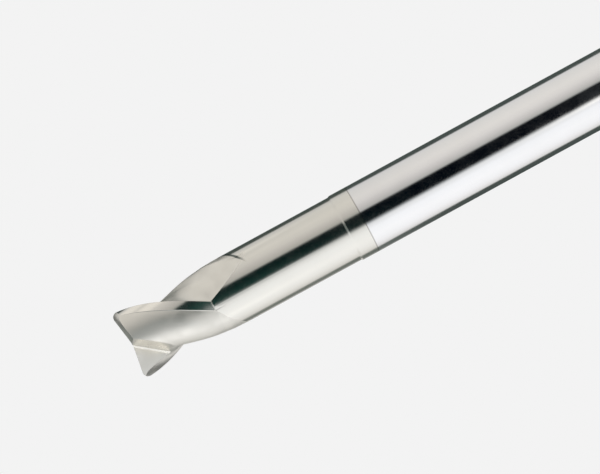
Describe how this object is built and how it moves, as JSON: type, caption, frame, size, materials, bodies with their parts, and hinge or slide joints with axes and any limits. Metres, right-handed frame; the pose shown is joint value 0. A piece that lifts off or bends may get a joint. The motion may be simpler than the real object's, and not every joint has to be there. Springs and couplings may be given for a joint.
{
  "type": "bull nose end mill",
  "caption": "Slim solid carbide milling cutter with helical flutes, rounded cutting corners, a long relieved neck and a plain round shank.",
  "frame": {"origin": "middle of the flat end of the shank", "axes": "+Z along the tool's axis from the shank end to the cutting tip; +X is a quarter turn from the direction towards the camera of the picture, which looks along +Y"},
  "size_m": [0.006, 0.006, 0.06],
  "materials": {
    "carbide": "ground and polished solid carbide, bare and bright on the shank, with a thin silvery beige coating on the neck and the cutting end"
  },
  "bodies": {
    "root": {"end_mill": "carbide"}
  },
  "joints": []
}
